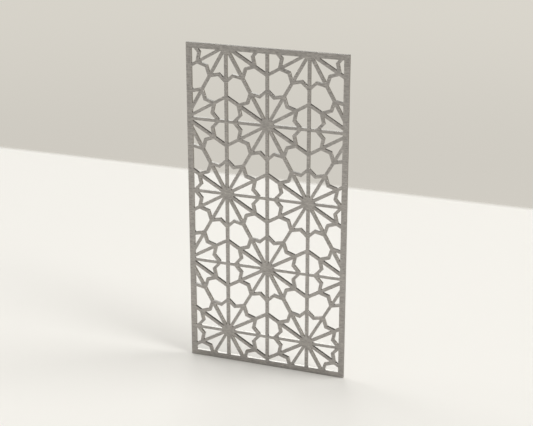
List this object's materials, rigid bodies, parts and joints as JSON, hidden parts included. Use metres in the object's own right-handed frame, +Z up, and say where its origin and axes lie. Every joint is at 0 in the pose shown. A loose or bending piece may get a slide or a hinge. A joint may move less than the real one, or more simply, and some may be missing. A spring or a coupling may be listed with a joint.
{
  "type": "decorative metal screen",
  "caption": "Upright flat metal screen: one plate with a plain border and a lattice of many-pointed stars cut right through it, made to be held by its edges or border.",
  "frame": {"origin": "middle of the bottom edge: halfway along its length and halfway through its thickness", "axes": "+Z up the plate's height, +X along its width to the right seen from the front, +Y through its thickness towards the back"},
  "size_m": [0.6, 0.01, 1.2],
  "materials": {
    "brushed_steel": "satin, brushed along the plate's width, with bare cut edges"
  },
  "bodies": {
    "root": {"screen_panel": "brushed_steel"}
  },
  "joints": []
}
